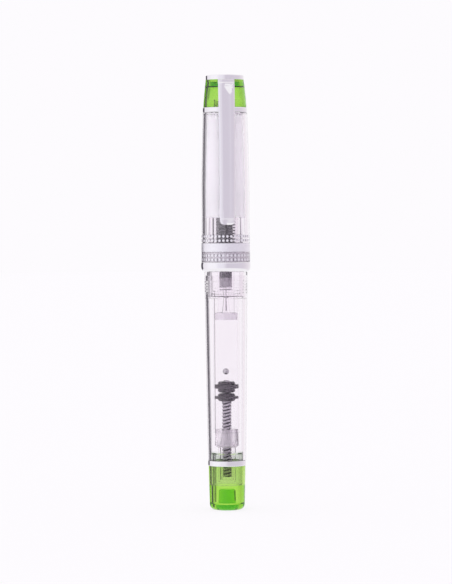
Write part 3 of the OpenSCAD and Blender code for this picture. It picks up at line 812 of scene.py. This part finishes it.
def nut_piece():
    """Nut whose thread fills the spindle's grooves."""
    bore_r = NUT_BORE_R + NUT_BORE_MARGIN
    wall, _ = split(half_section("converter_nut"), lambda r, z: r < bore_r)
    outline = wall + [(NUT_BORE_R, wall[-1][1]), (NUT_BORE_R, wall[0][1])]
    outline = divide_upright(outline, NUT_BORE_R, SPINDLE_STEP)

    def shift(angle, r, z):
        return -max(groove(angle, z) - NUT_GAP, 0) if abs(r - NUT_BORE_R) < ON_WALL else 0

    made = turned("nut_cut", outline, NUT, shift, SPINDLE_SIDES)
    stand_in(made, "converter_nut", "knob")


# ---------------------------------------------------------------- feed

STEM_TOP_Z = 64.4       # the feed's stem is paler below this height
TAIL_R = 0.5            # radius below which a point of the stem is on its thin tail,
TAIL_TIP_R = 0.19       # and what it is there, up to this far above its foot,
TAIL_TIP_LENGTH = 1
TAIL_ROOT_R = 0.1       # and above that
CHANNEL_W = 0.46
CHANNEL_DEPTH = 1.45
CHANNEL_FACE = 2.4      # how far the ink's front stands from the axis
CHANNEL_FOOT = 73.75
CHANNEL_TOP = 80.6
CHANNEL_ROUND = 0.06
CHANNEL_TURNS = (0, 30, 60, 90)  # degrees of the points round each rounded edge


def feed_part(name, finish, side):
    """Part of the feed above or below the top of its stem, with a thin tail."""
    mesh = bmesh.new()
    mesh.from_mesh(NODES["feed"].data)
    bmesh.ops.remove_doubles(mesh, verts=mesh.verts, dist=WELD)
    foot = low("feed")[2]
    for vert in mesh.verts:
        x, y, z = vert.co / MM
        reach = math.hypot(x, y)
        if 0 < reach < TAIL_R and z < STEM_TOP_Z:
            slim = (TAIL_TIP_R if z < foot + TAIL_TIP_LENGTH else TAIL_ROOT_R) / reach
            vert.co.x *= slim
            vert.co.y *= slim
    parts = mesh.verts[:] + mesh.edges[:] + mesh.faces[:]
    bmesh.ops.bisect_plane(mesh, geom=parts, plane_co=(0, 0, STEM_TOP_Z * MM),
                           plane_no=(0, 0, side), clear_inner=True)
    bmesh.ops.holes_fill(mesh, edges=[e for e in mesh.edges if e.is_boundary])
    bmesh.ops.scale(mesh, vec=(1 / MM, 1 / MM, 1 / MM), verts=mesh.verts)
    return finish_mesh(name, mesh, finish)


def feed_channel():
    """Ink in the channel along the front of the feed, as a bar with rounded edges."""
    mesh = bmesh.new()
    corner_x, corner_y = CHANNEL_W / 2 - CHANNEL_ROUND, CHANNEL_DEPTH / 2 - CHANNEL_ROUND
    corners = ((corner_x, -corner_y, -90), (corner_x, corner_y, 0),
               (-corner_x, corner_y, 90), (-corner_x, -corner_y, 180))
    rings = []
    for end, lean in ((CHANNEL_FOOT, 1), (CHANNEL_TOP, -1)):
        ends = []
        for slope in CHANNEL_TURNS:
            reach = CHANNEL_ROUND - CHANNEL_ROUND * (1 - math.sin(math.radians(slope)))
            height = end + lean * CHANNEL_ROUND * (1 - math.cos(math.radians(slope)))
            ring = []
            for x, y, start in corners:
                for turn in CHANNEL_TURNS:
                    angle = math.radians(start + turn)
                    front = y + reach * math.sin(angle) + CHANNEL_DEPTH / 2 - CHANNEL_FACE
                    ring.append(mesh.verts.new((x + reach * math.cos(angle), front, height)))
            ends.append(ring)
        rings += ends[::lean]
    for here, there in zip(rings, rings[1:]):
        skin(mesh, here, there)
    mesh.faces.new(rings[0])
    mesh.faces.new(rings[-1])
    bmesh.ops.remove_doubles(mesh, verts=mesh.verts, dist=WELD)
    made = finish_mesh("feed_channel", mesh, INK)
    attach(made, "section")


def feed_pieces():
    """Feed's body, its paler stem, and the ink in its channel."""
    feed_channel()
    stand_in(feed_part("feed_body", FEED, 1), "feed", "section")
    stem = feed_part("feed_stem", STEM, -1)
    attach(stem, "section")


# ---------------------------------------------------------------- crown

DECK_R = 4.1            # the crown's deck is a piece of its own inside this radius


def crown_pieces():
    """Crown's wall, and the deck inside it."""
    wall, deck = split(half_section("cap_crown"), lambda r, z: r < DECK_R)
    foot, top = wall[0][1], wall[-1][1]
    made = turned("crown_wall", wall + [(DECK_R + SEAM, top), (DECK_R + SEAM, foot)], CROWN)
    stand_in(made, "cap_crown", "cap")
    made = turned("crown_deck", deck + [(DECK_R, foot), (DECK_R, top)], DECK)
    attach(made, "cap")


# ---------------------------------------------------------------- cap

CAP_OUTLINE = half_section("cap_shell")
WEB = 0.1               # what is left of the cap's end wall under the ring
SLEEVE_BOND = 0.05      # how far the sleeve's bond reaches into the cap's wall
SLEEVE_LIMIT_R = 5.7    # the ring's outline lies on the sleeve inside this radius
SEAT_GAP = 0.1          # height of the sleeve's foot over the ring's seat
END_HALF = 1            # the bore ends less than this under the ring's foot; above it by this
                        # much starts what the ring and the crown sit on
BORE_END_R = 5.2        # the end of the cap's bore lies inside this radius
RAISE_HALF = 0.6        # points this near its height and inside the radius below go up with it
RAISE_LIMIT_R = 5.35


def cap_pieces():
    """Cap whose bore and liner reach up to the ring."""
    ring = low("cap_collar_ring")[2]
    bore_top = min(z for r, z in CAP_OUTLINE if z > ring - END_HALF and r < BORE_END_R)
    rise = ring - WEB - bore_top

    def raised(outline):
        return [(r, z + rise if abs(z - bore_top) < RAISE_HALF and r < RAISE_LIMIT_R else z)
                for r, z in outline]

    shell, upper = split(raised(CAP_OUTLINE), lambda r, z: z > ring + END_HALF)
    inner, outer, top = shell[0][0], shell[-1][0], upper[0][1]
    made = turned("cap_body", shell[:-1] + [(inner, ring)], CLEAR)
    stand_in(made, "cap_shell", "cap")
    spigot = [(inner, ring + SEAM), (outer, ring + SEAM), (outer, top), (inner, top)]
    made = turned("cap_spigot", spigot, POST)
    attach(made, "cap")
    made = turned("liner", raised(half_section("inner_cap")), MILKY)
    stand_in(made, "inner_cap", "cap")


def lip_pieces():
    """Ring round the cap's mouth, and the satin sleeve inside it."""
    ring, sleeve = split(half_section("cap_lip_ring"), lambda r, z: r < SLEEVE_LIMIT_R)
    inner, outer = min(r for r, z in sleeve), max(r for r, z in sleeve)
    foot, seat = ring[0][1], ring[-1][1]
    top = max(z for r, z in sleeve)
    made = turned("lip_ring", ring + [(outer, seat), (outer, foot)], CHROME)
    stand_in(made, "cap_lip_ring", "cap")
    bond, lip = outer + SLEEVE_BOND, seat + SEAT_GAP
    made = turned("lip_sleeve", [(inner, lip), (bond, lip), (bond, top), (inner, top)], SATIN)
    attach(made, "cap")


# ---------------------------------------------------------------- print on the cap

BAND_LOW = 71.6
BAND_HIGH = 73.95
BAND_STEPS = 4
PRINT_SINK = 0.012      # how far the print reaches into the plastic, and out of it
PRINT_LIFT = 0.025
DOT_ROWS = [70.6, 69.45, 75.85, 74.7]
DOTS_ROUND = 38
DOT_RADIUS = 0.36
DOT_SIDES = 16


def cap_radius(height):
    """Radius of the cap's outer wall."""
    return crossings(CAP_OUTLINE, height)[-1]


def print_band():
    """Printed band round the cap."""
    rise = BAND_HIGH - BAND_LOW
    heights = [BAND_LOW + rise * i / BAND_STEPS for i in range(BAND_STEPS + 1)]
    outline = [(cap_radius(z) + PRINT_LIFT, z) for z in heights]
    outline += [(cap_radius(z) - PRINT_SINK, z) for z in reversed(heights)]
    made = turned("cap_print_band", outline, PRINT)
    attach(made, "cap")


def print_dots():
    """Rows of printed dots under and over the band."""
    mesh = bmesh.new()
    for row in DOT_ROWS:
        for k in range(DOTS_ROUND):
            middle = 2 * math.pi * k / DOTS_ROUND - math.pi / 2
            rims = []
            for lift in (-PRINT_SINK, PRINT_LIFT):
                rim = []
                for i in range(DOT_SIDES):
                    turn = 2 * math.pi * i / DOT_SIDES
                    z = row + DOT_RADIUS * math.sin(turn)
                    reach = cap_radius(z) + lift
                    angle = middle + DOT_RADIUS * math.cos(turn) / reach
                    place = (reach * math.cos(angle), reach * math.sin(angle), z)
                    rim.append(mesh.verts.new(place))
                mesh.faces.new(rim)
                rims.append(rim)
            skin(mesh, *rims)
    made = finish_mesh("cap_print_dots", mesh, PRINT)
    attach(made, "cap")


# ---------------------------------------------------------------- clip

# How far the clip's face has dropped at a distance from its left and its right edge
CLIP_LEFT = ((0.0, 0.22), (0.45, 0.08), (1.15, 0.0))
CLIP_RIGHT = ((0.0, 0.36), (0.06, 0.28), (0.4, 0.0))
CLIP_SIDE = -90         # direction in which the clip stands, in degrees from +X
CLIP_DIP = 0.04         # hollow of the face between the slopes,
CLIP_DIP_HALF = 1.2     # which ends this far from the middle
CLIP_DIP_FADE = 0.5     # and deepens over this height below the bend
CLIP_CORNER = 1.25      # radius of the corners at the tip
CLIP_SHEET = 0.62
CLIP_RIM = 0.5          # width of the turned-down sides
CLIP_RIM_DEPTH = 0.6
CLIP_RIM_LOW = 85.6     # the sides turn down between these heights, and fade over the next
CLIP_RIM_HIGH = 114.0
CLIP_RIM_FADE = 1.2
CLIP_COLUMNS = (0.0, 0.06, 0.4, 0.45, 0.5, 0.53, 0.8, 1.15)
CLIP_MIDDLE = (0.95, 0.75, 0.5, 0.25, 0.0)
CLIP_DENT = 0.5         # depth and height of the dent below the bend
CLIP_DENT_HEIGHT = 2.9
# Left edge, deepest line and right edge of the dent, at its top and at its foot
CLIP_DENT_EDGES = ((-1.25, 0.8), (1.6, 0.86), (1.85, 0.96))
CLIP_BEND_LOW = 117.75
# Shelf above the bend, as (reach, height) of its face and of its back
CLIP_SHELF = (
    (5.40, 119.05, 5.40, 118.55), (5.85, 119.05, 5.42, 118.42), (5.95, 118.95, 5.44, 118.25),
    (5.98, 118.70, 5.46, 118.05), (6.00, 118.35, 5.49, 117.85), (6.06, 118.12, 5.53, 117.72),
    (6.20, 117.98, 5.62, 117.62), (6.42, 117.90, 5.75, 117.54), (6.52, 117.78, 5.86, 117.47),
)
CLIP_ROWS_FINE = 0.3    # steps near the bend, the dent and the tip
CLIP_ROWS_COARSE = 1.3  # steps between them
CLIP_FINE_UNDER_DENT = 1  # how far the fine steps go on below the dent
CLIP_FINE_OVER_TIP = 4    # and where they start again above the tip
CLIP_SMOOTH = 0.3       # the front line's reach is its mean here and this far up and down
CLIP_CORNER_TURN = 10   # degrees between the rows of the rounded tip
CLIP_SHARP_ANGLE = 16
CLIP_TIP_HALF = 0.5     # the tip's width is taken up to this far above its corners
CLIP_HEIGHT_WEIGHT = 10  # how much more height counts than reach in finding the root and the tip


def clip_path():
    """Front line of the clip, from its root to its tip, as (reach, height)."""
    def rank(i):
        return outline[i][1] * CLIP_HEIGHT_WEIGHT - outline[i][0]

    outline = half_section("clip_tongue", CLIP_SIDE)
    root = max(range(len(outline)), key=rank)
    outline = outline[root:] + outline[:root]
    tip = min(range(len(outline)), key=rank)
    one, other = outline[:tip + 1], [outline[0]] + outline[:tip - 1:-1]
    return max((one, other), key=lambda run: sum(r for r, z in run) / len(run))


def clip_rows(path, tip, root_half, tip_half):
    """Rows of the clip's mesh as (reach, height, half width, place of the back)."""
    def reach(height):
        for (r0, z0), (r1, z1) in zip(path, path[1:]):
            if z1 <= height <= z0 and z0 > z1:
                return r0 + (r1 - r0) * (height - z0) / (z1 - z0)
        return path[-1][0]

    def half(height):
        share = (height - tip) / (path[0][1] - tip)
        return tip_half + (root_half - tip_half) * share

    rows = [(r, z, half(z), back) for r, z, *back in CLIP_SHELF]
    height = CLIP_BEND_LOW
    while height - tip > CLIP_CORNER + CLIP_ROWS_FINE:
        under_dent = CLIP_BEND_LOW - CLIP_DENT_HEIGHT - CLIP_FINE_UNDER_DENT
        near_end = height > under_dent or height < tip + CLIP_FINE_OVER_TIP
        height -= CLIP_ROWS_FINE if near_end else CLIP_ROWS_COARSE
        near = [reach(height + step) for step in (-CLIP_SMOOTH, 0, CLIP_SMOOTH)]
        rows.append((sum(near) / len(near), height, half(height), None))
    for degrees in range(0, 91, CLIP_CORNER_TURN):
        turn = math.radians(degrees)
        height = tip + CLIP_CORNER * (1 - math.sin(turn))
        rows.append((reach(height), height, half(tip) - CLIP_CORNER * (1 - math.cos(turn)), None))
    return rows


def along(points, at):
    """Value at a place on a line given by its (place, value) points."""
    for (a0, v0), (a1, v1) in zip(points, points[1:]):
        if at < a1:
            return v0 + (v1 - v0) * max(at - a0, 0) / (a1 - a0)
    return points[-1][1]


def clip_depth(x, height, tip, half):
    """How far the clip's face lies below its front line."""
    from_tip = height - tip
    to_edge = half - abs(x)
    if from_tip < CLIP_CORNER and to_edge < CLIP_CORNER:
        to_edge = CLIP_CORNER - math.hypot(CLIP_CORNER - to_edge, CLIP_CORNER - from_tip)
    to_edge = min(to_edge, from_tip)
    dip = CLIP_DIP * (1 - clamp(abs(x) / CLIP_DIP_HALF) ** 2)
    below_bend = clamp((CLIP_BEND_LOW - height) / CLIP_DIP_FADE)
    down = (CLIP_BEND_LOW - height) / CLIP_DENT_HEIGHT
    dent = 0
    if 0 <= down < 1:
        left, crease, right = (a + (b - a) * down for a, b in CLIP_DENT_EDGES)
        share = (right - x) / (right - crease) if x > crease else (x - left) / (crease - left)
        dent = CLIP_DENT * (1 - down) * clamp(share)
    return along(CLIP_LEFT if x < 0 else CLIP_RIGHT, to_edge) + below_bend * dip + dent


def clip_piece():
    """Clip bent from sheet, with turned-down sides and a dent below its bend."""
    path = clip_path()
    tip = path[-1][1]
    half_tip = max(abs(v.co.x) for v in NODES["clip_tongue"].data.vertices
                   if v.co.z / MM < tip + CLIP_CORNER + CLIP_TIP_HALF) / MM
    rows = clip_rows(path, tip, high("clip_tongue")[0], half_tip)
    mesh = bmesh.new()
    tops, floors = [], []
    for i, (reach, height, half, back) in enumerate(rows):
        before, after = rows[max(i - 1, 0)], rows[min(i + 1, len(rows) - 1)]
        out = Vector((before[1] - after[1], after[0] - before[0])).normalized()
        if i == 0:
            out = Vector((0, 1))
        scale = half / half_tip if height < tip + CLIP_CORNER else 1
        edges = [half - c * scale for c in CLIP_COLUMNS] + [m * scale for m in CLIP_MIDDLE]
        across = [-x for x in edges] + edges[-2::-1]
        rim = CLIP_RIM_DEPTH * (clamp((height - CLIP_RIM_LOW) / CLIP_RIM_FADE)
                                * clamp((CLIP_RIM_HIGH - height) / CLIP_RIM_FADE))
        full = half_tip if height < tip + CLIP_CORNER else half
        top, floor = [], []
        for x in across:
            depth = clip_depth(x, height, tip, full)
            under = CLIP_SHEET + (rim if half - abs(x) < CLIP_RIM + ON_WALL else 0)
            top.append(mesh.verts.new((x, -(reach - out[0] * depth), height - out[1] * depth)))
            back_reach, back_height = back or (reach - out[0] * under, height - out[1] * under)
            floor.append(mesh.verts.new((x, -back_reach, back_height)))
        tops.append(top)
        floors.append(floor)
    for side in (tops, floors):
        for here, there in zip(side, side[1:]):
            skin(mesh, here, there, closed=False)
    for k in (0, -1):
        skin(mesh, [top[k] for top in tops], [floor[k] for floor in floors], closed=False)
        skin(mesh, tops[k], floors[k], closed=False)
    made = finish_mesh("clip_formed", mesh, CHROME, CLIP_SHARP_ANGLE)
    stand_in(made, "clip_tongue", "clip")


# ---------------------------------------------------------------- the pieces

section_pieces()
barrel_pieces()
plug_pieces()
piston_seal("front_seal", "piston_front_seal")
piston_seal("rear_seal", "piston_rear_seal")
spindle_piece()
nut_piece()
feed_pieces()
crown_pieces()
cap_pieces()
lip_pieces()
print_band()
print_dots()
clip_piece()
